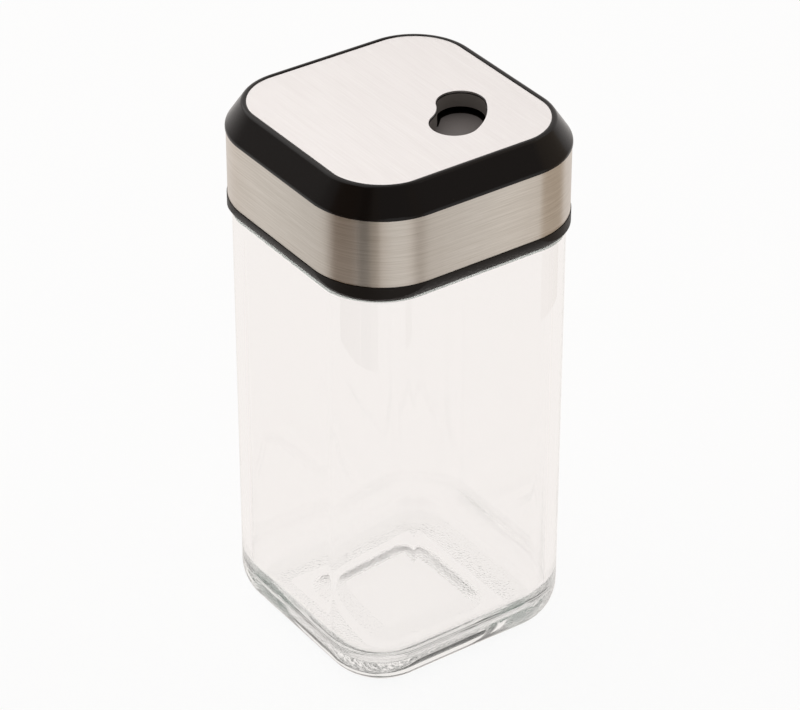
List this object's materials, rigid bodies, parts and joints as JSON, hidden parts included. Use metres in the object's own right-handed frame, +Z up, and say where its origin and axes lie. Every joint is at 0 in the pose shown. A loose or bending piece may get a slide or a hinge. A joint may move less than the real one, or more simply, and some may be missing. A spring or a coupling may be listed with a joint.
{
  "type": "sugar dispenser",
  "caption": "Square glass sugar dispenser with a screw lid in brushed steel and black plastic, and a small gravity flap that closes its curved pouring window.",
  "frame": {"origin": "middle of the flat ring under the jar, on the table", "axes": "+Z up the jar's axis; X and Y square to the jar's sides; the pouring window lies towards +X+Y"},
  "size_m": [0.075, 0.075, 0.1547],
  "materials": {
    "clear_glass": "clear pressed glass, faintly green at the thick edges",
    "seal_silicone": "translucent white silicone",
    "black_moulding": "semi-gloss black moulding",
    "band_steel": "brushed round the band",
    "black_gloss_frame": "polished black ABS",
    "adhesive": "double-sided adhesive sheet",
    "plate_steel": "fine straight brushing along X",
    "flap_plastic": "satin dark grey moulding",
    "pin_steel": "drawn steel wire"
  },
  "bodies": {
    "jar": {"glass_jar": "clear_glass"},
    "seal": {"mouth_seal": "seal_silicone"},
    "lid": {"lid_base": "black_moulding", "steel_band": "band_steel", "top_frame": "black_gloss_frame", "plate_adhesive": "adhesive", "top_plate": "plate_steel", "flap_pin": "pin_steel"},
    "flap": {"pour_flap": "flap_plastic"}
  },
  "joints": [
    {"name": "cap_lift", "type": "slide", "parent": "jar", "child": "seal", "axis": [0, 0, 1], "range_m": [0, 0.015]},
    {"name": "cap_turn", "type": "hinge", "parent": "seal", "child": "lid", "pos_m": [0, 0, 0.1453], "axis": [0, 0, 1], "range_deg": [0, 270]},
    {"name": "flap_hinge", "type": "hinge", "parent": "lid", "child": "flap", "pos_m": [0.00566, 0.00566, 0.14865], "axis": [0.7071, -0.7071, 0], "range_deg": [0, 40]}
  ],
  "couplings": [
    {"joint": "cap_lift", "follows": "cap_turn", "m_per_rad": 0.003183}
  ]
}
